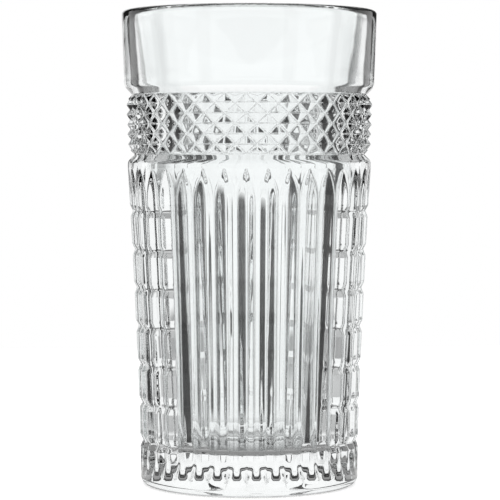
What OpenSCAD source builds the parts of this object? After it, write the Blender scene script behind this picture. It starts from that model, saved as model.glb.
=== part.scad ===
// Pressed clear-glass highball tumbler, one piece of glass.
// A plain flared rim stands over a band of raised diamond points. Below it the body carries long
// mitre flutes with pointed ends, and the ridges between them are notched on two opposite sides.
// Origin: centre of the foot, on the table. +Z is up and a plain, unnotched panel faces -Y.

/* [Overall] */
// Height from the table to the top of the lip
glass_height = 152; // [146:1:164]
// Diameter across the outside of the lip
rim_diameter = 82; // [81.5:0.5:85]
// Diameter of the wall just above the rounded heel
base_diameter = 70; // [67:0.5:73]

/* [Rim] */
// Height of the plain rim, from the groove under it to the lip
rim_height = 26.9; // [22:0.1:32]
// How far the shoulder under the rim stands out past the diamonds' peaks
shoulder_step = 0.3; // [0.1:0.05:1]
// Height of the slope from the groove out to the shoulder
shoulder_rise = 2.7; // [2:0.1:4]
// Radius that rounds the shoulder
shoulder_round = 3; // [1:0.1:4]
// Thickness of the glass at the lip
lip_wall = 3.9; // [3:0.1:4.5]
// Radius that rounds the outside of the lip
lip_outer_round = 1.3; // [0.5:0.1:1.3]
// Radius that rounds the inside of the lip
lip_inner_round = 2.4; // [1:0.1:2.4]

/* [Diamond band] */
// Rows of whole diamonds in the band
diamond_rows = 3; // [2:1:4]
// Height of one diamond, point to point
diamond_length = 6.33; // [5:0.01:6.5]
// How far a diamond's peak stands out from the grooves round it
diamond_height = 2.1; // [1:0.1:2.5]
// Diameter over the peaks at the top of the band
band_top_diameter = 79.6; // [78:0.1:81]
// Diameter over the peaks at the bottom of the band
band_bottom_diameter = 78; // [77:0.1:79]

/* [Collar] */
// How far the collar where the flutes start stands out past the diamonds' peaks
collar_step = 0.05; // [0:0.05:0.5]
// Height of the collar, from the groove over it to the flute tips
collar_height = 4.3; // [3.5:0.1:8]
// Height of the slope from the groove out to the collar
collar_rise = 2.2; // [1.5:0.1:2.5]
// Radius that rounds the collar
collar_round = 2; // [0.5:0.1:2.5]

/* [Flutes] */
// Number of flutes, and of diamonds in a row
flute_count = 36; // [28:4:44]
// Depth of a flute
flute_depth = 1.7; // [1.2:0.05:2]
// Width of the rounded ridge left between two flutes
ridge_land = 0.8; // [0.3:0.05:1]
// Width of a flute at its very tip
tip_width = 0.3; // [0.2:0.05:0.6]
// Length over which a flute deepens from its upper tip
upper_runout = 10; // [5:0.5:14]
// Length over which a flute fades to its lower tip
lower_runout = 7; // [4:0.5:9]

/* [Notches] */
// Notched ridges on each side of the glass
notched_ridges = 9; // [5:2:11]
// Notches down each of those ridges
notch_count = 7; // [3:1:7]
// Distance from the flute tips down to the first notch
notch_start = 13.8; // [12:0.1:18]
// Distance from one notch to the next
notch_pitch = 12.3; // [9:0.1:12.5]
// Height of a notch at the surface
notch_height = 3.8; // [2:0.1:5]
// Depth of a notch
notch_depth = 0.85; // [0.4:0.05:0.9]

/* [Foot and cavity] */
// Height of the plain foot under the flutes
foot_height = 4.4; // [3.5:0.1:6]
// Radius that rounds the heel
heel_round = 2.6; // [1:0.1:3]
// Diameter of the hollow under the foot
punt_diameter = 54; // [40:1:60]
// Depth of the hollow under the foot
punt_depth = 1.5; // [0.5:0.1:2.5]
// Height of the floor of the cavity over the table
floor_height = 12.3; // [9:0.1:18]
// Radius between the floor and the wall of the cavity
floor_round = 4; // [2:0.5:8]
// Thickness of the glass behind the grooves of the diamond band
band_wall = 3.8; // [3:0.1:5]
// Thickness of the glass at the foot, out to the ridges
foot_wall = 6.6; // [5:0.1:9]

/* [Hidden] */
glass_colour = [0.84, 0.89, 0.91, 0.45];

// How the body's radius grows from foot to collar, as a power of the height share
belly_power = 1.5;
// Facets of one rounded corner, and of a turned surface
arc_steps = 8;
round_steps = 144;
// Rings of the faceted wall down a run-out
runout_steps = 4;
// Hair step that keeps a turned ring inside the faceted ring it stands on, and its depth in there
seam_step = 0.05;
seam_depth = 1;
// How far a cut runs past the surface it opens
overrun = 2;

flute_angle = 360 / flute_count;
front_angle = -90;
// From the middle of a side panel to just past the edge of its last notched ridge
panel_half_angle = (notched_ridges - 1 / 2) * flute_angle / 2;
rim_radius = rim_diameter / 2;
shoulder_radius = band_top_diameter / 2 + shoulder_step;
collar_radius = band_bottom_diameter / 2 + collar_step;
base_radius = base_diameter / 2;
punt_radius = punt_diameter / 2;

rim_bottom = glass_height - rim_height;
band_bottom = rim_bottom - diamond_rows * diamond_length;
wall_top = band_bottom - collar_height;
shoulder_level = rim_bottom + shoulder_rise;
collar_level = band_bottom - collar_rise;

half_diamond = diamond_length / 2;
band_levels = 2 * diamond_rows;
band_columns = 2 * flute_count;
// Where the sloping edge of the band cuts the half diamonds of its first and last rows
crest_drop = diamond_height * half_diamond / (diamond_height + half_diamond);

function unit(v) = v / norm(v);

// Points of the arc that rounds one corner of an outline
function corner_arc(before, corner, after, radius) =
    let (
        u = unit(before - corner),
        v = unit(after - corner),
        half = acos(u * v) / 2,
        reach = radius / tan(half),
        centre = corner + unit(u + v) * radius / sin(half),
        first = corner + u * reach - centre,
        last = corner + v * reach - centre,
        turn = 180 - 2 * half
    )
    [for (i = [0 : arc_steps])
        let (share = i / arc_steps)
        centre + (first * sin(turn * (1 - share)) + last * sin(turn * share)) / sin(turn)];

// An outline from corners given as [x, y, radius]
function rounded(corners) =
    let (count = len(corners), flat = [for (c = corners) [c[0], c[1]]])
    [for (i = [0 : count - 1])
        each corners[i][2] == 0
            ? [flat[i]]
            : corner_arc(flat[(i + count - 1) % count], flat[i], flat[(i + 1) % count], corners[i][2])];

function polar(radius, angle, height) = [radius * cos(angle), radius * sin(angle), height];
function arc_angle(width, radius) = width / radius * 180 / PI;
function blend(low, high, share) = low + (high - low) * share;

// Radius over the diamonds' peaks at a height
function peak_radius(z) =
    blend(band_bottom_diameter, band_top_diameter, (z - band_bottom) / (rim_bottom - band_bottom)) / 2;
function groove_radius(z) = peak_radius(z) - diamond_height;

// Radius over the flutes' ridges at a height
function ridge_radius(z) = blend(base_radius, collar_radius, pow(z / wall_top, belly_power));

// Radius of a turned ring that stands just inside a faceted ring
function seated(radius) = radius * cos(flute_angle / 4) - seam_step;

// The end of a turned ring that runs into the faceted ring on the given side, +1 over it or -1 under
// it, as the points from the axis out
function rooted(radius, z, side) = [
    [0, z + side * seam_depth, 0],
    [seated(radius) - seam_depth, z + side * seam_depth, 0],
    [seated(radius), z, 0]
];

// How much of a flute's full depth and width is cut at a height
function cut_share(z) =
    min(sin(90 * min(1, (wall_top - z) / upper_runout)),
        sin(90 * min(1, (z - foot_height) / lower_runout)));

// Height of the middle of a notch, counted from the top
function notch_level(k) = wall_top - notch_start - k * notch_pitch;

// Depth of the notches at a height and an angle: they cross both side panels, ridges and flutes alike
function notch_cut(z, angle) =
    abs(abs((angle - front_angle) % 360 - 180) - 90) > panel_half_angle
        ? 0
        : max([for (k = [0 : notch_count - 1])
            max(0, notch_depth * (1 - abs(z - notch_level(k)) * 2 / notch_height))]);

// Numbers in falling order, each one once
function falling(numbers) =
    len(numbers) < 2
        ? numbers
        : let (pivot = numbers[floor(len(numbers) / 2)])
            concat(
                falling([for (n = numbers) if (n > pivot) n]),
                [pivot],
                falling([for (n = numbers) if (n < pivot) n])
            );

module turned(corners) {
    rotate_extrude($fn = round_steps) polygon(rounded(corners));
}

// A closed solid from rings of points, listed from the top down, each with as many points
module stacked(rings) {
    count = len(rings[0]);
    last = len(rings) - 1;
    points = [for (ring = rings) each ring];
    top = [for (i = [count - 1 : -1 : 0]) i];
    bottom = [for (i = [0 : count - 1]) last * count + i];
    sides = [for (j = [0 : last - 1], i = [0 : count - 1])
        let (a = j * count + i, b = j * count + (i + 1) % count, c = a + count, d = b + count)
        each [[a, b, c], [b, d, c]]];
    polyhedron(points = points, faces = concat([top, bottom], sides), convexity = 10);
}

module rim() {
    turned(concat(rooted(groove_radius(rim_bottom), rim_bottom, -1), [
        [shoulder_radius, shoulder_level, shoulder_round],
        [rim_radius, glass_height, min(lip_outer_round, lip_wall / 3)],
        [0, glass_height, 0]
    ]));
}

// Raised diamonds in staggered columns. A diamond's peak is joined to the four groove crossings
// round it, and the diamonds cut by the band's edges end in a slope from the groove to a crest.
module diamond_band() {
    function angle(i) = front_angle + flute_angle / 2 * (i + 1);
    function level(j) = rim_bottom - j * half_diamond;
    function is_peak(i, j) = (i + j) % 2 == 1 && j > 0 && j < band_levels;
    function at(i, j) = j * band_columns + i % band_columns;
    function crest(i, j) =
        (band_levels + 1) * band_columns + (j == 0 ? 0 : flute_count) + (i % band_columns - 1) / 2;

    grid = [for (j = [0 : band_levels], i = [0 : band_columns - 1])
        polar(is_peak(i, j) ? peak_radius(level(j)) : groove_radius(level(j)), angle(i), level(j))];
    crests = [for (edge = [0, 1], i = [1 : 2 : band_columns - 1])
        let (z = edge == 0 ? rim_bottom - crest_drop : band_bottom + crest_drop)
        polar(groove_radius(z) + crest_drop, angle(i), z)];

    // Whole quarters of diamonds: each quad is split along the groove that crosses it
    inner = [for (j = [1 : band_levels - 2], i = [0 : band_columns - 1])
        let (a = at(i, j), b = at(i + 1, j), c = at(i, j + 1), d = at(i + 1, j + 1))
        each (i + j) % 2 == 0 ? [[a, b, d], [a, d, c]] : [[a, b, c], [b, d, c]]];
    // First and last rows: a quarter of a whole diamond beside half of a cut one
    upper = [for (i = [0 : band_columns - 1])
        let (a = at(i, 0), b = at(i + 1, 0), c = at(i, 1), d = at(i + 1, 1))
        each i % 2 == 0
            ? [[a, b, crest(i + 1, 0)], [a, crest(i + 1, 0), d], [a, d, c]]
            : [[a, b, crest(i, 0)], [crest(i, 0), b, c], [b, d, c]]];
    lower = [for (i = [0 : band_columns - 1])
        let (
            j = band_levels - 1,
            a = at(i, j), b = at(i + 1, j), c = at(i, j + 1), d = at(i + 1, j + 1)
        )
        each i % 2 == 0
            ? [[a, b, c], [b, crest(i + 1, band_levels), c], [crest(i + 1, band_levels), d, c]]
            : [[a, b, d], [a, d, crest(i, band_levels)], [crest(i, band_levels), d, c]]];
    caps = [
        [for (i = [band_columns - 1 : -1 : 0]) at(i, 0)],
        [for (i = [0 : band_columns - 1]) at(i, band_levels)]
    ];
    polyhedron(points = concat(grid, crests), faces = concat(caps, upper, inner, lower), convexity = 10);
}

module collar() {
    upper_end = rooted(groove_radius(band_bottom), band_bottom, 1);
    turned(concat(rooted(collar_radius, wall_top, -1), [
        [collar_radius, collar_level, collar_round],
        upper_end[2],
        upper_end[1],
        upper_end[0]
    ]));
}

// The body between collar and foot, with its mitre flutes and its notches
module fluted_wall() {
    runouts = [for (i = [0 : runout_steps])
        each [wall_top - upper_runout * i / runout_steps, foot_height + lower_runout * i / runout_steps]];
    notches = [for (k = [0 : notch_count - 1], edge = [-1 : 1]) notch_level(k) + edge * notch_height / 2];
    levels = concat(runouts, [for (z = notches) if (z < wall_top - seam_depth && z > foot_height + seam_depth) z]);
    stacked([for (z = falling(levels))
        let (
            ridge = ridge_radius(z),
            half_tip = arc_angle(tip_width, ridge) / 2,
            half_full = (flute_angle - arc_angle(ridge_land, ridge)) / 2,
            half_width = blend(half_tip, half_full, cut_share(z))
        )
        [for (k = [0 : flute_count - 1])
            let (middle = front_angle + flute_angle * (k + 1 / 2))
            for (corner = [
                [flute_depth * cut_share(z), middle],
                [0, middle + half_width],
                [0, middle + flute_angle / 2],
                [0, middle + flute_angle - half_width]
            ])
                polar(ridge - corner[0] - notch_cut(z, corner[1]), corner[1], z)]]);
}

module foot() {
    upper_end = rooted(base_radius, foot_height, 1);
    turned([
        [0, 0, 0],
        [seated(base_radius), 0, heel_round],
        upper_end[2],
        upper_end[1],
        upper_end[0]
    ]);
}

module cavity() {
    mouth_radius = rim_radius - lip_wall;
    floor_radius = base_radius - foot_wall;
    lip_curve = min(lip_inner_round, lip_wall * 5 / 8);
    turned([
        [0, floor_height, 0],
        [floor_radius, floor_height, floor_round],
        [groove_radius(band_bottom) - band_wall, band_bottom, 0],
        [groove_radius(rim_bottom) - band_wall, rim_bottom, 0],
        [mouth_radius, glass_height, lip_curve],
        [mouth_radius + lip_curve, glass_height, 0],
        [mouth_radius + lip_curve, glass_height + overrun, 0],
        [0, glass_height + overrun, 0]
    ]);
}

// The shallow dish that leaves the glass standing on a ring
module punt() {
    dish_radius = (punt_radius * punt_radius + punt_depth * punt_depth) / (2 * punt_depth);
    translate([0, 0, punt_depth - dish_radius]) sphere(dish_radius, $fn = round_steps);
}

module tumbler() {
    color(glass_colour)
    difference() {
        union() {
            rim();
            diamond_band();
            collar();
            fluted_wall();
            foot();
        }
        cavity();
        punt();
    }
}

tumbler();
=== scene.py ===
"""Pressed clear-glass highball tumbler on a white studio table.

Run as a script, this file builds the scene: the glass, its material, the table and the light, the
camera. Laid out as an add-on, it also has a panel with the sizes and colours that a user would change.
Sizes are typed in millimetres. The scene is in metres, in the part's own frame: origin at the centre of
the foot, +Z up, a plain panel of the body towards -Y.
"""

import math

import bpy
import numpy as np
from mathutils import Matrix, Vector


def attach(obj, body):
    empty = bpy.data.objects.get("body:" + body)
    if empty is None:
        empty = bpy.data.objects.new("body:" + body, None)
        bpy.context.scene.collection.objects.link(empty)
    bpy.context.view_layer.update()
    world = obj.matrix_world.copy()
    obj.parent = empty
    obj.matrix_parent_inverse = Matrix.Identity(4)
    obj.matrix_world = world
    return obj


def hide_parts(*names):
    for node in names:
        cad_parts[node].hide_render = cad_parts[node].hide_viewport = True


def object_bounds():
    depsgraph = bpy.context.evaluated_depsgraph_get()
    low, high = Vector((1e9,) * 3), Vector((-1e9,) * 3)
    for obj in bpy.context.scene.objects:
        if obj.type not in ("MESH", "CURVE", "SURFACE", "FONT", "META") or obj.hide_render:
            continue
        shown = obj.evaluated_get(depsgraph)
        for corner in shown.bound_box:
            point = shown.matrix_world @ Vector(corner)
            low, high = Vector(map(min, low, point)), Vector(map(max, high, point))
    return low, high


bl_info = {
    "name": "Pressed highball glass",
    "version": (1, 0, 0),
    "blender": (4, 5, 0),
    "location": "3D View > Sidebar > Glass",
    "description": "Builds a pressed highball glass and the white table that it stands on",
    "category": "Add Mesh",
}

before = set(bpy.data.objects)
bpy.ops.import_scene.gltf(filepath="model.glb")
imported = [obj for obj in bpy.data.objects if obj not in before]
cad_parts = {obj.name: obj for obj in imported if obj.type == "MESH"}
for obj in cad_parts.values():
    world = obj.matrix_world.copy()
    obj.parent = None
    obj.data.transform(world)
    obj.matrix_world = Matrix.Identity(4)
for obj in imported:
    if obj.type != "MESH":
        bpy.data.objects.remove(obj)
CAD_LOW, CAD_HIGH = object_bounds()
MM = 0.001
GLASS_HEIGHT = (CAD_HIGH[2] - CAD_LOW[2]) / MM

# Columns of the mesh round the plain surfaces and across one diamond, and those across one flute as
# shares of half its width: the column on its last edge is the next flute's first
PLAIN_COLUMNS = 180
BAND_COLUMNS = 20
HALF_FLUTE = np.array([-1, -0.92, -0.84, -0.78, -0.72, -0.62, -0.5, -0.38, -0.2, -0.1])
FLUTE_COLUMNS = np.concatenate([HALF_FLUTE, [0], -HALF_FLUTE[:0:-1]])

# Rings of the mesh: the longest step between two along an outline in millimetres, the rings in a
# flute's run-outs and how they crowd towards its tips, those over a notch as shares of its height, and
# those in the hollow under the foot as shares of its radius
CAVITY_STEP = 3.0
RIM_STEP = 2.5
HEEL_STEP = 1.5
FINE_STEP = 0.4
UPPER_RINGS = 16
LOWER_RINGS = 12
TIP_CROWDING = 1.5
NOTCH_STEPS = (-0.6, -0.54, -0.5, -0.46, -0.36, -0.2, -0.08, 0, 0.08, 0.2, 0.36, 0.46, 0.5, 0.54, 0.6)
PUNT_RINGS = np.array([0.9, 0.75, 0.55, 0.35, 0.15])

# Rings whose columns lie closer than this, in radians, are joined by squares
SAME_COLUMNS = 0.01

# Roundings that the mould and fire polishing leave, in millimetres
LIP_INNER_ROUND = 2.4
LIP_OUTER_ROUND = 1.3
SHOULDER_ROUND = 3.0
COLLAR_ROUND = 2.0
NOTCH_SOFT = 0.25
NOTCH_EDGE = 0.08
EDGE_SOFT = 0.15
GROOVE_FLOOR = 0.03
PUNT_EDGE_ROUND = 0.6

# Roundings given as shares: of half a diamond at its grooves and its points, of half a flute in its
# valley, of half a ridge, and of the lip's wall at its inner edge
GROOVE_SOFT = 0.16
POINT_SOFT = 0.06
VALLEY_SHARE = 0.4
RIDGE_SHARE = 0.98
LIP_SHARE = 5 / 8

# Width of a flute at its very tips in millimetres, the curve by which the wall opens towards the
# collar, and a point on the side of the hollow under the foot as shares of its radius and depth
TIP_WIDTH = 0.3
BELLY_POWER = 1.5
PUNT_SIDE = (0.7, 0.51)

GLASS_IOR = 1.52
TABLE_HALF = 500.0
TABLE_ROUGHNESS = 0.6

# The camera: focal length and shift in pixels of the picture, the sensor's width in millimetres and the
# nearest that it sees in metres
PICTURE_WIDTH = 500
CAMERA_FOCUS = 2234.5
CAMERA_SHIFT = 0.7
SENSOR_WIDTH = 36.0
NEAREST_SEEN = 0.01

# Screens round the glass: from and to, in degrees from straight behind it, then the bottom, the top at
# either end and the distance from the glass's axis, in millimetres. The near cards darken facets of the
# wall, and the two far ones the sides of the rim
WHITE_SCREEN = [(-60, 60, 0, 400, 400, 95)]
BLACK_CARDS = [
    (-129.5, -107, 0, 150, 150, 50),
    (-66, -55, 0, 122, 112, 50),
    (-52.5, -20, 10, 108, 90, 50),
    (25, 35, 10, 92, 100, 50),
    (50, 65, 0, 112, 122, 50),
    (107, 129.5, 0, 150, 150, 50),
    (-64, -42, 104, 200, 200, 94),
    (42, 64, 104, 200, 200, 94),
]

# How light a card is as a share of full white, how wide a screen's faded upper and lower edges are in
# millimetres, and the degrees round the glass between its points
CARD_LEVEL = 0.04
SCREEN_FADE = 8.0
SCREEN_STEP = 3.0

# What the glass picks up of the room, by the sine of the angle up or down, and the light and shade
# painted into the table where the glass sees it, by the distance from the glass's axis in millimetres:
# shares of full white. The table's levels are a painted shadow under the foot, painted light round it and
# dimmer painted bands further out
ROOM_LIGHT = [(0, 1.0), (0.16, 1.0), (0.26, 0.2), (0.5, 0.3), (1, 0.3)]
TABLE_PAINTED_LIGHT = [
    (0, 0.25),
    (30, 0.25),
    (48, 1.0),
    (95, 1.0),
    (120, 0.5),
    (250, 0.6),
    (310, 0.4),
    (420, 0.4),
    (470, 0.95),
]

# Light added to the table top where the camera sees it: it whitens it and softens the glass's shadow
TABLE_GLOW = 0.5


def linear(hex_colour):
    """An sRGB hex colour as the linear red, green, blue and alpha that Blender works in."""
    channels = [int(hex_colour[i : i + 2], 16) / 255 for i in (1, 3, 5)]
    return (*(c / 12.92 if c <= 0.04045 else ((c + 0.055) / 1.055) ** 2.4 for c in channels), 1.0)


def blend(low, high, share):
    return low + (high - low) * share


def soft_abs(x, width):
    """The size of x, with the crease at zero rounded over the given width."""
    size = np.abs(x)
    return np.where(size < width, x * x / (2 * width) + width / 2, size)


def soft_top(x, width):
    """x where it is over zero, else zero, with the crease rounded over the given width."""
    return np.where(np.abs(x) < width, (x + width) ** 2 / (4 * width), np.maximum(x, 0))


def soft_least(a, b, width):
    """The smaller of a and b, with the crease between them rounded."""
    return a - soft_top(a - b, width)


def zigzag(x):
    """A rounded zigzag: 0 at even numbers, 1 at odd ones."""
    x = np.abs((np.asarray(x, float) + 1) % 2 - 1)
    return np.where(x < 0.5, soft_abs(x, POINT_SOFT), 1 - soft_abs(1 - x, POINT_SOFT))


def rounded(corners, steps=8):
    """An open outline of (radius, height) points, from corners given as (radius, height, rounding)."""
    points = [Vector(c[:2]) for c in corners]
    line = []
    for i, (corner, (_, _, rounding)) in enumerate(zip(points, corners)):
        if rounding == 0:
            line.append(corner)
            continue
        back = (points[i - 1] - corner).normalized()
        ahead = (points[i + 1] - corner).normalized()
        half = back.angle(ahead) / 2
        centre = corner + (back + ahead).normalized() * rounding / math.sin(half)
        first = corner + back * rounding / math.tan(half) - centre
        last = corner + ahead * rounding / math.tan(half) - centre
        turn = math.pi - 2 * half
        for k in range(steps + 1):
            share = k / steps
            arm = first * math.sin(turn * (1 - share)) + last * math.sin(turn * share)
            line.append(centre + arm / math.sin(turn))
    return np.array([tuple(p) for p in line])


def filled(outline, longest):
    """The same outline with extra points, so that no step along it is longer than the given length."""
    line = [outline[0]]
    for start, end in zip(outline[:-1], outline[1:]):
        count = max(1, math.ceil(np.linalg.norm(end - start) / longest))
        line.extend(blend(start, end, k / count) for k in range(1, count + 1))
    return np.array(line)


def column_angles(count):
    """Angles of evenly spaced columns round the glass, from the middle of its front."""
    return np.arange(count) * 2 * math.pi / count - math.pi / 2


class Skin:
    """Rings of points round the glass's axis, joined one to the next into a single closed surface."""

    def __init__(self):
        self.points = []
        self.faces = []
        self.first = None
        self.last = None
        self.total = 0

    def ring(self, radius, angle, height, slant=None):
        """Adds a ring and joins it to the last one. slant, a row of true and false, says for each
        pair of columns which way the square between the two rings is cut into triangles."""
        radius, angle, height = np.broadcast_arrays(radius, angle, height)
        self.points.append(np.stack([radius * np.cos(angle), radius * np.sin(angle), height], 1))
        start, count = self.total, len(angle)
        self.total += count
        if self.last is None:
            self.first = (start, angle)
        else:
            self.join(*self.last, start, angle, slant)
        self.last = (start, angle)

    def join(self, upper, upper_angle, lower, lower_angle, slant):
        """Adds the faces between two rings, given by their first points' numbers and their angles."""
        n, m = len(upper_angle), len(lower_angle)
        if n == m and np.abs(upper_angle - lower_angle).max() < SAME_COLUMNS:
            i = np.arange(n)
            a, b = upper + i, upper + (i + 1) % n
            c, d = lower + i, lower + (i + 1) % n
            if slant is None:
                self.faces.extend(np.stack([a, c, d, b], 1).tolist())
                return
            first = np.where(slant[:, None], np.stack([a, c, d], 1), np.stack([a, c, b], 1))
            second = np.where(slant[:, None], np.stack([a, d, b], 1), np.stack([b, c, d], 1))
            self.faces.extend(first.tolist())
            self.faces.extend(second.tolist())
            return
        # Rings with different counts are laced together in the order of their angles
        turn = 2 * math.pi
        above = np.append(upper_angle, upper_angle[0] + turn)
        below = np.append(lower_angle, lower_angle[0] + turn)
        i = j = 0
        while i < n or j < m:
            if j == m or (i < n and above[i + 1] + above[i] < below[j + 1] + below[j]):
                self.faces.append([upper + i, lower + j % m, upper + (i + 1) % n])
                i += 1
            else:
                self.faces.append([upper + i % n, lower + j, lower + (j + 1) % m])
                j += 1

    def turned(self, outline, columns):
        """Adds a ring at each (radius, height) point of an outline."""
        angle = column_angles(columns)
        for radius, height in outline:
            self.ring(radius, angle, height)

    def cap(self, height, first):
        """Closes the first or last ring with a fan to a point on the axis."""
        start, angle = self.first if first else self.last
        n = len(angle)
        self.points.append(np.array([[0.0, 0.0, height]]))
        tip = self.total
        self.total += 1
        for i in range(n):
            a, b = start + i, start + (i + 1) % n
            self.faces.append([tip, a, b] if first else [tip, b, a])

    def mesh(self, name):
        made = bpy.data.meshes.new(name)
        made.from_pydata((np.concatenate(self.points) * MM).tolist(), [], self.faces)
        made.validate()
        made.shade_smooth()
        return made


class GlassSizes(bpy.types.PropertyGroup):
    """Sizes of the glass, in millimetres."""

    height: bpy.props.FloatProperty(
        name="Height", description="From the table to the top of the lip", default=GLASS_HEIGHT
    )
    rim_radius: bpy.props.FloatProperty(
        name="Rim radius", description="Outside of the lip", default=41.0
    )
    rim_height: bpy.props.FloatProperty(
        name="Rim height", description="From the groove under the plain rim to the lip", default=26.9
    )
    shoulder_step: bpy.props.FloatProperty(
        name="Shoulder step", description="How far the shoulder stands out past the diamonds", default=0.3
    )
    shoulder_rise: bpy.props.FloatProperty(
        name="Shoulder rise", description="Height of the slope up to the shoulder", default=2.7
    )
    lip_wall: bpy.props.FloatProperty(
        name="Lip wall", description="Thickness of the glass at the lip", default=3.9
    )
    diamond_rows: bpy.props.IntProperty(
        name="Diamond rows", description="Rows of whole diamonds in the band", default=3, min=1
    )
    diamond_length: bpy.props.FloatProperty(
        name="Diamond length", description="Height of one diamond, point to point", default=6.33
    )
    diamond_height: bpy.props.FloatProperty(
        name="Diamond height", description="From a diamond's grooves out to its point", default=2.1
    )
    band_top_radius: bpy.props.FloatProperty(
        name="Band top radius", description="Over the points at the top of the band", default=39.8
    )
    band_bottom_radius: bpy.props.FloatProperty(
        name="Band bottom radius", description="Over the points at the bottom of the band", default=39.0
    )
    collar_step: bpy.props.FloatProperty(
        name="Collar step", description="How far the collar stands out past the diamonds", default=0.05
    )
    collar_height: bpy.props.FloatProperty(
        name="Collar height", description="From the groove over the collar to the flute tips", default=4.3
    )
    collar_rise: bpy.props.FloatProperty(
        name="Collar rise", description="Height of the slope from the groove to the collar", default=2.2
    )
    base_radius: bpy.props.FloatProperty(
        name="Base radius", description="Outside of the wall just above the heel", default=35.0
    )
    flute_count: bpy.props.IntProperty(
        name="Flutes", description="Flutes round the body, and diamonds in a row", default=36, min=8
    )
    flute_depth: bpy.props.FloatProperty(
        name="Flute depth", description="Depth of a flute under its ridges", default=1.7
    )
    ridge_land: bpy.props.FloatProperty(
        name="Ridge", description="Width of the rounded ridge between two flutes", default=1.1
    )
    valley_round: bpy.props.FloatProperty(
        name="Valley rounding", description="Half the width of a flute's rounded bottom", default=0.3
    )
    upper_runout: bpy.props.FloatProperty(
        name="Upper run-out", description="From a flute's upper tip to its full depth", default=10.0
    )
    lower_runout: bpy.props.FloatProperty(
        name="Lower run-out", description="From a flute's full depth to its lower tip", default=7.0
    )
    notched_ridges: bpy.props.IntProperty(
        name="Notched ridges", description="Notched ridges on each side of the glass", default=9, min=1
    )
    notch_count: bpy.props.IntProperty(
        name="Notches", description="Notches down each notched ridge", default=7, min=1
    )
    notch_start: bpy.props.FloatProperty(
        name="First notch", description="From the flute tips down to the first notch", default=13.8
    )
    notch_pitch: bpy.props.FloatProperty(
        name="Notch pitch", description="From one notch to the next", default=12.3
    )
    notch_height: bpy.props.FloatProperty(
        name="Notch height", description="Height of a notch at the ridge", default=3.8
    )
    notch_depth: bpy.props.FloatProperty(
        name="Notch depth", description="Depth of a notch under the ridge", default=0.85
    )
    foot_height: bpy.props.FloatProperty(
        name="Foot height", description="Height of the plain foot under the flutes", default=4.4
    )
    heel_round: bpy.props.FloatProperty(
        name="Heel rounding", description="Radius that rounds the heel", default=2.6
    )
    punt_radius: bpy.props.FloatProperty(
        name="Punt radius", description="Radius of the hollow under the foot", default=27.0
    )
    punt_depth: bpy.props.FloatProperty(
        name="Punt depth", description="Depth of the hollow under the foot", default=1.5
    )
    floor_height: bpy.props.FloatProperty(
        name="Floor height", description="Height of the cavity's floor over the table", default=12.3
    )
    floor_round: bpy.props.FloatProperty(
        name="Floor rounding", description="Radius between the cavity's floor and its wall", default=4.0
    )
    band_wall: bpy.props.FloatProperty(
        name="Band wall", description="Thickness of the glass behind the band's grooves", default=3.8
    )
    foot_wall: bpy.props.FloatProperty(
        name="Foot wall", description="Thickness of the glass at the foot, out to the ridges", default=6.6
    )


def rim_bottom(size):
    return size.height - size.rim_height


def band_bottom(size):
    return rim_bottom(size) - size.diamond_rows * size.diamond_length


def wall_top(size):
    return band_bottom(size) - size.collar_height


def groove_radius(size, z):
    """Radius of the grooves between the diamonds."""
    share = (z - band_bottom(size)) / (rim_bottom(size) - band_bottom(size))
    return blend(size.band_bottom_radius, size.band_top_radius, share) - size.diamond_height


def collar_radius(size):
    return size.band_bottom_radius + size.collar_step


def ridge_radius(size, z):
    """Radius over the flutes' ridges: the wall opens a little faster towards the collar."""
    return blend(size.base_radius, collar_radius(size), (z / wall_top(size)) ** BELLY_POWER)


def add_cavity(skin, size):
    """The smooth inside, pressed by the plunger, from the middle of the floor up to the lip."""
    top = size.height
    lip_curve = min(LIP_INNER_ROUND, size.lip_wall * LIP_SHARE)
    mouth = size.rim_radius - size.lip_wall
    low, high = band_bottom(size), rim_bottom(size)
    outline = rounded(
        [
            (0.0, size.floor_height, 0),
            (size.base_radius - size.foot_wall, size.floor_height, size.floor_round),
            (groove_radius(size, low) - size.band_wall, low, 0),
            (groove_radius(size, high) - size.band_wall, high, 0),
            (mouth, top, lip_curve),
            (mouth + lip_curve, top, 0),
        ]
    )
    skin.turned(filled(outline[1:], CAVITY_STEP), PLAIN_COLUMNS)


def add_rim(skin, size):
    """The plain flared rim, from the top of the lip down to the groove under its shoulder."""
    low = rim_bottom(size)
    shoulder = size.band_top_radius + size.shoulder_step
    outline = rounded(
        [
            (size.rim_radius - size.lip_wall / 3, size.height, 0),
            (size.rim_radius, size.height, LIP_OUTER_ROUND),
            (shoulder, low + size.shoulder_rise, SHOULDER_ROUND),
            (groove_radius(size, low), low, 0),
        ]
    )
    line = filled(outline[1:], RIM_STEP)
    slope = line[line[:, 1] < low + size.shoulder_rise + SHOULDER_ROUND]
    skin.turned(line[: len(line) - len(slope)], PLAIN_COLUMNS)
    skin.turned(filled(slope, FINE_STEP)[:-1], BAND_COLUMNS * size.flute_count)


def add_diamond_band(skin, size):
    """Rows of raised four-sided points in staggered columns, with rounded grooves between them. The
    rows cut by the band's edges end in a slope down to the groove."""
    count = BAND_COLUMNS * size.flute_count
    angle = column_angles(count)
    # Each column's place across its diamond, from 0 to 1
    along = np.arange(count) / BAND_COLUMNS % 1
    sideways = zigzag(2 * along)
    top, low = rim_bottom(size), band_bottom(size)
    for k in range(size.diamond_rows * BAND_COLUMNS + 1):
        row = 2 * k / BAND_COLUMNS
        z = top - row * size.diamond_length / 2
        point = size.diamond_height * soft_abs(sideways + zigzag(row) - 1, GROOVE_SOFT)
        edge = min(top - z, z - low) + GROOVE_FLOOR
        # Squares are cut along the grooves, whose direction changes every half diamond
        slant = (np.floor(2 * along) + math.floor(2 * (k - 0.5) / BAND_COLUMNS)) % 2 == 1
        skin.ring(groove_radius(size, z) + soft_least(point, edge, EDGE_SOFT), angle, z, slant)


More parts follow.
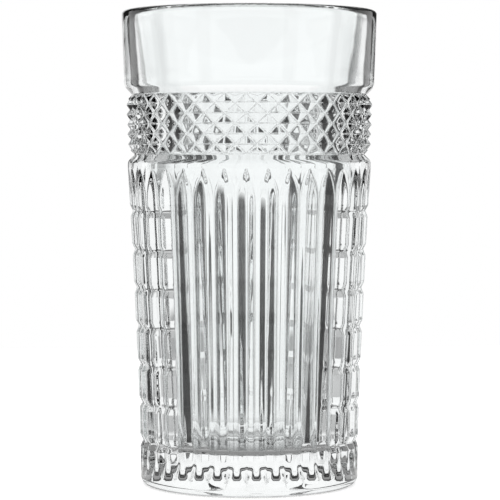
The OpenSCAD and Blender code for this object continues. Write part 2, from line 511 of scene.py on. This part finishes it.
def add_collar(skin, size):
    """The plain collar between the band and the flutes."""
    low, top = wall_top(size), band_bottom(size)
    collar = collar_radius(size)
    outline = rounded(
        [
            (groove_radius(size, top), top, 0),
            (collar, top - size.collar_rise, COLLAR_ROUND),
            (collar, low, 0),
        ]
    )
    skin.turned(filled(outline, FINE_STEP)[1:-1], BAND_COLUMNS * size.flute_count)


def cut_share(size, z):
    """How much of a flute's full depth and width is cut at a height."""
    from_top = (wall_top(size) - z) / size.upper_runout
    from_foot = (z - size.foot_height) / size.lower_runout
    return min(math.sin(math.pi / 2 * min(1, max(0, share))) for share in (from_top, from_foot))


def add_fluted_wall(skin, size):
    """The body: mitre flutes with pointed ends, and notches across the ridges of both side panels."""
    top, low = wall_top(size), size.foot_height
    notches = [top - size.notch_start - k * size.notch_pitch for k in range(size.notch_count)]
    levels = {
        top - size.upper_runout * (k / UPPER_RINGS) ** TIP_CROWDING for k in range(UPPER_RINGS + 1)
    }
    levels |= {
        low + size.lower_runout * (k / LOWER_RINGS) ** TIP_CROWDING for k in range(LOWER_RINGS + 1)
    }
    levels |= {middle + size.notch_height * step for middle in notches for step in NOTCH_STEPS}
    levels |= {middle - size.notch_pitch / 2 for middle in notches[:-1]}
    flute_turn = 2 * math.pi / size.flute_count
    panel_reach = size.notched_ridges * flute_turn / 2
    number = np.repeat(np.arange(size.flute_count), len(FLUTE_COLUMNS))
    for z in sorted(levels, reverse=True):
        ridge = ridge_radius(size, z)
        pitch = ridge * flute_turn
        share = cut_share(size, z)
        half_width = blend(TIP_WIDTH / 2, (pitch - size.ridge_land) / 2, share)
        valley = min(size.valley_round, VALLEY_SHARE * half_width)
        # The columns gather in the rounded valley and beside the ridge
        spread = np.interp(
            np.abs(FLUTE_COLUMNS),
            [0, 0.15, 0.55, 0.8, 1],
            [0, valley, 0.8 * half_width, half_width, pitch / 2],
        )
        beside = np.tile(spread * np.sign(FLUTE_COLUMNS), size.flute_count)
        angle = -math.pi / 2 + flute_turn * (number + 0.5) + beside / ridge
        slope = size.flute_depth * share / half_width
        land = min(size.ridge_land / 2, half_width) * RIDGE_SHARE
        cut = slope * soft_top(half_width - soft_abs(beside, valley), land)
        nearest = min(abs(z - middle) for middle in notches)
        notch = size.notch_depth * (1 - soft_abs(nearest, NOTCH_SOFT) * 2 / size.notch_height)
        # How far round each column is from the middle of the nearer side panel
        off_side = np.abs(np.abs((angle + math.pi / 2) % (2 * math.pi) - math.pi) - math.pi / 2)
        notch = np.where(off_side < panel_reach, soft_top(notch, NOTCH_EDGE), 0.0)
        skin.ring(ridge - cut - notch, angle, z)


def add_foot(skin, size):
    """The plain foot: rounded heel, the ring that the glass stands on, and the hollow inside it."""
    outline = rounded(
        [
            (size.base_radius, size.foot_height, 0),
            (size.base_radius, 0.0, size.heel_round),
            (size.punt_radius, 0.0, PUNT_EDGE_ROUND),
            (size.punt_radius * PUNT_SIDE[0], size.punt_depth * PUNT_SIDE[1], 0),
        ]
    )
    skin.turned(filled(outline[1:-1], HEEL_STEP), PLAIN_COLUMNS)
    dish = (size.punt_radius**2 + size.punt_depth**2) / (2 * size.punt_depth)
    radii = size.punt_radius * PUNT_RINGS
    heights = size.punt_depth - dish + np.sqrt(dish**2 - radii**2)
    skin.turned(np.stack([radii, heights], 1), PLAIN_COLUMNS)


def glass_mesh(size):
    """The whole glass as one closed skin."""
    skin = Skin()
    add_cavity(skin, size)
    add_rim(skin, size)
    add_diamond_band(skin, size)
    add_collar(skin, size)
    add_fluted_wall(skin, size)
    add_foot(skin, size)
    skin.cap(size.floor_height, first=True)
    skin.cap(size.punt_depth, first=False)
    return skin.mesh("pressed_glass")


class GlassLook(bpy.types.PropertyGroup):
    """Colours and finish of the glass."""

    tint: bpy.props.FloatVectorProperty(
        name="Tint",
        description="Colour of light that has crossed the glass",
        subtype="COLOR",
        size=4,
        min=0.0,
        max=1.0,
        default=linear("#FCFEFE"),
    )
    roughness: bpy.props.FloatProperty(
        name="Roughness",
        description="Blur of the fire-polished surface",
        subtype="FACTOR",
        min=0.0,
        max=1.0,
        default=0.0,
    )
    wave_length: bpy.props.FloatProperty(
        name="Wave length",
        description="From one wave of the surface to the next, in millimetres",
        min=0.1,
        default=8.0,
    )
    wave_height: bpy.props.FloatProperty(
        name="Wave height",
        description="Height of the surface's waves, in millimetres",
        min=0.0,
        default=0.03,
    )


class StudioSettings(bpy.types.PropertyGroup):
    """The table's colour and the camera's place."""

    table: bpy.props.FloatVectorProperty(
        name="Table",
        description="Colour of the table top",
        subtype="COLOR",
        size=4,
        min=0.0,
        max=1.0,
        default=linear("#F4F4F4"),
    )
    distance: bpy.props.FloatProperty(
        name="Camera distance", description="From the glass's axis, in millimetres", default=720.0
    )
    camera_height: bpy.props.FloatProperty(
        name="Camera height", description="Over the table, in millimetres", default=106.2
    )
    camera_turn: bpy.props.FloatProperty(
        name="Camera turn",
        description="Round the glass from the plain panel's middle",
        subtype="ANGLE",
        default=math.radians(-3.6),
    )
    camera_tilt: bpy.props.FloatProperty(
        name="Camera tilt", description="Below the horizon", subtype="ANGLE", default=math.radians(2.46)
    )


def add_node(tree, kind, inputs=None, **settings):
    """One node with its settings, its inputs set to values or linked to other nodes' outputs."""
    made = tree.nodes.new(kind)
    for name, value in settings.items():
        setattr(made, name, value)
    for name, value in (inputs or {}).items():
        if isinstance(value, bpy.types.NodeSocket):
            tree.links.new(value, made.inputs[name])
        else:
            made.inputs[name].default_value = value
    return made


def bare_material(name):
    """A new material without nodes, and its node tree."""
    material = bpy.data.materials.new(name)
    material.use_nodes = True
    material.node_tree.nodes.clear()
    return material, material.node_tree


def soda_lime_glass(look):
    """Clear soda-lime glass, pressed in an iron mould and fire polished: colourless, with a mirror-smooth
    surface whose very faint waves come from the mould and make highlights wander a little."""
    material, tree = bare_material("soda_lime_glass_pressed_and_fire_polished")
    place = add_node(tree, "ShaderNodeTexCoord")
    waves = add_node(
        tree,
        "ShaderNodeTexNoise",
        {"Vector": place.outputs["Object"], "Scale": 1 / (look.wave_length * MM), "Detail": 1.0},
    )
    surface = add_node(
        tree, "ShaderNodeBump", {"Height": waves.outputs["Fac"], "Distance": look.wave_height * MM}
    )
    shader = add_node(
        tree,
        "ShaderNodeBsdfPrincipled",
        {
            "Base Color": tuple(look.tint),
            "Roughness": look.roughness,
            "IOR": GLASS_IOR,
            "Transmission Weight": 1.0,
            "Normal": surface.outputs["Normal"],
        },
    )
    add_node(tree, "ShaderNodeOutputMaterial", {"Surface": shader.outputs["BSDF"]})
    return material


def level_ramp(tree, value, stops):
    """A grey level that follows a value, from stops listed as value and share of full white."""
    reach = stops[-1][0]
    share = add_node(tree, "ShaderNodeMath", {0: value, 1: reach}, operation="DIVIDE")
    made = add_node(tree, "ShaderNodeValToRGB", {"Fac": share.outputs["Value"]})
    ramp = made.color_ramp
    for element, (place, level) in zip(ramp.elements, (stops[0], stops[-1])):
        element.position = place / reach
        element.color = (level, level, level, 1)
    for place, level in stops[1:-1]:
        ramp.elements.new(place / reach).color = (level, level, level, 1)
    return made.outputs["Color"]


def studio_world():
    """A white room. Through the glass it is bright along the horizon and darker above and below, which
    draws the glass's facets."""
    world = bpy.data.worlds.new("white_studio")
    world.use_nodes = True
    tree = world.node_tree
    tree.nodes.clear()
    place = add_node(tree, "ShaderNodeTexCoord")
    axes = add_node(tree, "ShaderNodeSeparateXYZ", {"Vector": place.outputs["Generated"]})
    rise = add_node(tree, "ShaderNodeMath", {0: axes.outputs["Z"]}, operation="ABSOLUTE")
    level = level_ramp(tree, rise.outputs["Value"], ROOM_LIGHT)
    room = add_node(tree, "ShaderNodeBackground", {"Color": level, "Strength": 1.0})
    white = add_node(tree, "ShaderNodeBackground", {"Color": (1, 1, 1, 1), "Strength": 1.0})
    path = add_node(tree, "ShaderNodeLightPath")
    through = add_node(
        tree,
        "ShaderNodeMath",
        {0: path.outputs["Is Glossy Ray"], 1: path.outputs["Is Transmission Ray"]},
        operation="MAXIMUM",
    )
    mix = add_node(
        tree,
        "ShaderNodeMixShader",
        {0: through.outputs["Value"], 1: white.outputs["Background"], 2: room.outputs["Background"]},
    )
    add_node(tree, "ShaderNodeOutputWorld", {"Surface": mix.outputs["Shader"]})
    bpy.context.scene.world = world


def table_top(studio):
    """A matt white laminate table top. Through the glass it shows painted shade and light: a painted
    shadow under the foot, where the glass shades it, and painted light round it."""
    material, tree = bare_material("matt_white_laminate_with_painted_shade")
    shader = add_node(
        tree,
        "ShaderNodeBsdfPrincipled",
        {"Base Color": tuple(studio.table), "Roughness": TABLE_ROUGHNESS},
    )
    glow = add_node(tree, "ShaderNodeEmission", {"Strength": TABLE_GLOW})
    seen = add_node(tree, "ShaderNodeAddShader", {0: shader.outputs["BSDF"], 1: glow.outputs["Emission"]})
    # Painted shade and light for every ray but the camera's: a glow whose grey follows the distance from
    # the glass's axis, dark under the foot as a painted shadow
    place = add_node(tree, "ShaderNodeTexCoord")
    reach = add_node(tree, "ShaderNodeVectorMath", {0: place.outputs["Object"]}, operation="LENGTH")
    away = add_node(tree, "ShaderNodeMath", {0: reach.outputs["Value"], 1: MM}, operation="DIVIDE")
    level = level_ramp(tree, away.outputs["Value"], TABLE_PAINTED_LIGHT)
    through = add_node(tree, "ShaderNodeEmission", {"Color": level, "Strength": 1.0})
    path = add_node(tree, "ShaderNodeLightPath")
    mix = add_node(
        tree,
        "ShaderNodeMixShader",
        {0: path.outputs["Is Camera Ray"], 1: through.outputs["Emission"], 2: seen.outputs["Shader"]},
    )
    add_node(tree, "ShaderNodeOutputMaterial", {"Surface": mix.outputs["Shader"]})
    return material


def lit_cloth(name, level):
    """A screen of cloth or card, evenly lit to a share of full white. It fades out towards its edges, as
    a screen out of focus does, so that it leaves no hard edge in the glass."""
    material, tree = bare_material(name)
    lit = add_node(tree, "ShaderNodeEmission", {"Strength": level})
    clear = add_node(tree, "ShaderNodeBsdfTransparent")
    solid = add_node(tree, "ShaderNodeAttribute", attribute_name="solid")
    mix = add_node(
        tree,
        "ShaderNodeMixShader",
        {0: solid.outputs["Fac"], 1: clear.outputs["BSDF"], 2: lit.outputs["Emission"]},
    )
    add_node(tree, "ShaderNodeOutputMaterial", {"Surface": mix.outputs["Shader"]})
    return material


def add_screen(scene, name, arcs, material):
    """Upright curved screens about the glass's axis. Only the glass sees them: they throw no shadow and
    do not hide the glass from the camera."""
    points, faces, solid = [], [], []
    for first, last, low, high, far_high, radius in arcs:
        count = max(3, round(abs(last - first) / SCREEN_STEP))
        for k in range(count + 1):
            turn = math.radians(blend(first, last, k / count))
            x, y = radius * MM * math.sin(turn), radius * MM * math.cos(turn)
            top = blend(high, far_high, k / count)
            points += [(x, y, z * MM) for z in (low, low + SCREEN_FADE, top - SCREEN_FADE, top)]
            inside = float(0 < k < count)
            solid += [0.0, inside, inside, 0.0]
            # Three squares join the four points here to the four before them
            if k:
                n = len(points)
                faces += [(n - 8 + i, n - 4 + i, n - 3 + i, n - 7 + i) for i in range(3)]
    mesh = bpy.data.meshes.new(name)
    mesh.from_pydata(points, [], faces)
    mesh.attributes.new("solid", "FLOAT", "POINT").data.foreach_set("value", solid)
    mesh.materials.append(material)
    screen = bpy.data.objects.new(name, mesh)
    screen.visible_camera = False
    screen.visible_diffuse = False
    screen.visible_shadow = False
    scene.collection.objects.link(screen)


def add_table(scene, studio):
    """The square table top that the glass stands on."""
    half = TABLE_HALF * MM
    mesh = bpy.data.meshes.new("table_top")
    mesh.from_pydata(
        [(-half, -half, 0), (half, -half, 0), (half, half, 0), (-half, half, 0)], [], [(0, 1, 2, 3)]
    )
    mesh.materials.append(table_top(studio))
    table = bpy.data.objects.new("table_top", mesh)
    scene.collection.objects.link(table)


def add_camera(scene, studio):
    """The camera in front of the plain panel, a little above the glass's middle and looking down."""
    camera = bpy.data.objects.new("camera", bpy.data.cameras.new("camera"))
    scene.collection.objects.link(camera)
    turn, distance = studio.camera_turn, studio.distance * MM
    camera.location = (
        math.sin(turn) * distance,
        -math.cos(turn) * distance,
        studio.camera_height * MM,
    )
    camera.rotation_euler = (math.pi / 2 - studio.camera_tilt, 0, turn)
    camera.data.sensor_width = SENSOR_WIDTH
    camera.data.lens = SENSOR_WIDTH * CAMERA_FOCUS / PICTURE_WIDTH
    camera.data.shift_x = CAMERA_SHIFT / PICTURE_WIDTH
    camera.data.clip_start = NEAREST_SEEN
    scene.camera = camera


class GLASS_OT_tumbler(bpy.types.Operator):
    """Builds the pressed glass tumbler over the CAD solid"""

    bl_idname = "glass.tumbler"
    bl_label = "Build the tumbler"

    def execute(self, context):
        scene = context.scene
        piece = bpy.data.objects.new("pressed_tumbler", glass_mesh(scene.glass_sizes))
        scene.collection.objects.link(piece)
        piece.data.materials.append(soda_lime_glass(scene.glass_look))
        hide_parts("tumbler")
        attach(piece, "root")
        return {"FINISHED"}


class GLASS_OT_studio(bpy.types.Operator):
    """Builds the table, the light and the camera"""

    bl_idname = "glass.studio"
    bl_label = "Build the studio"

    def execute(self, context):
        scene = context.scene
        studio = scene.glass_studio
        add_table(scene, studio)
        studio_world()
        add_screen(scene, "white_screen", WHITE_SCREEN, lit_cloth("lit_white_cloth", 1.0))
        add_screen(scene, "black_cards", BLACK_CARDS, lit_cloth("black_card", CARD_LEVEL))
        add_camera(scene, studio)
        scene.view_settings.view_transform = "Standard"
        return {"FINISHED"}


class GLASS_PT_panel(bpy.types.Panel):
    """Lists the glass's sizes, its look and the studio"""

    bl_idname = "GLASS_PT_panel"
    bl_label = "Pressed highball glass"
    bl_space_type = "VIEW_3D"
    bl_region_type = "UI"
    bl_category = "Glass"

    def draw(self, context):
        layout = self.layout
        scene = context.scene
        for group, operator in (
            (scene.glass_sizes, GLASS_OT_tumbler),
            (scene.glass_look, None),
            (scene.glass_studio, GLASS_OT_studio),
        ):
            box = layout.box()
            for name in group.bl_rna.properties.keys():
                if name not in ("rna_type", "name"):
                    box.prop(group, name)
            if operator:
                box.operator(operator.bl_idname)


CLASSES = (GlassSizes, GlassLook, StudioSettings, GLASS_OT_tumbler, GLASS_OT_studio, GLASS_PT_panel)


def register():
    for kind in CLASSES:
        bpy.utils.register_class(kind)
    bpy.types.Scene.glass_sizes = bpy.props.PointerProperty(type=GlassSizes)
    bpy.types.Scene.glass_look = bpy.props.PointerProperty(type=GlassLook)
    bpy.types.Scene.glass_studio = bpy.props.PointerProperty(type=StudioSettings)


def unregister():
    del bpy.types.Scene.glass_studio
    del bpy.types.Scene.glass_look
    del bpy.types.Scene.glass_sizes
    for kind in reversed(CLASSES):
        bpy.utils.unregister_class(kind)


def main():
    register()
    bpy.ops.glass.studio()
    bpy.ops.glass.tumbler()


if __name__ == "__main__":
    main()
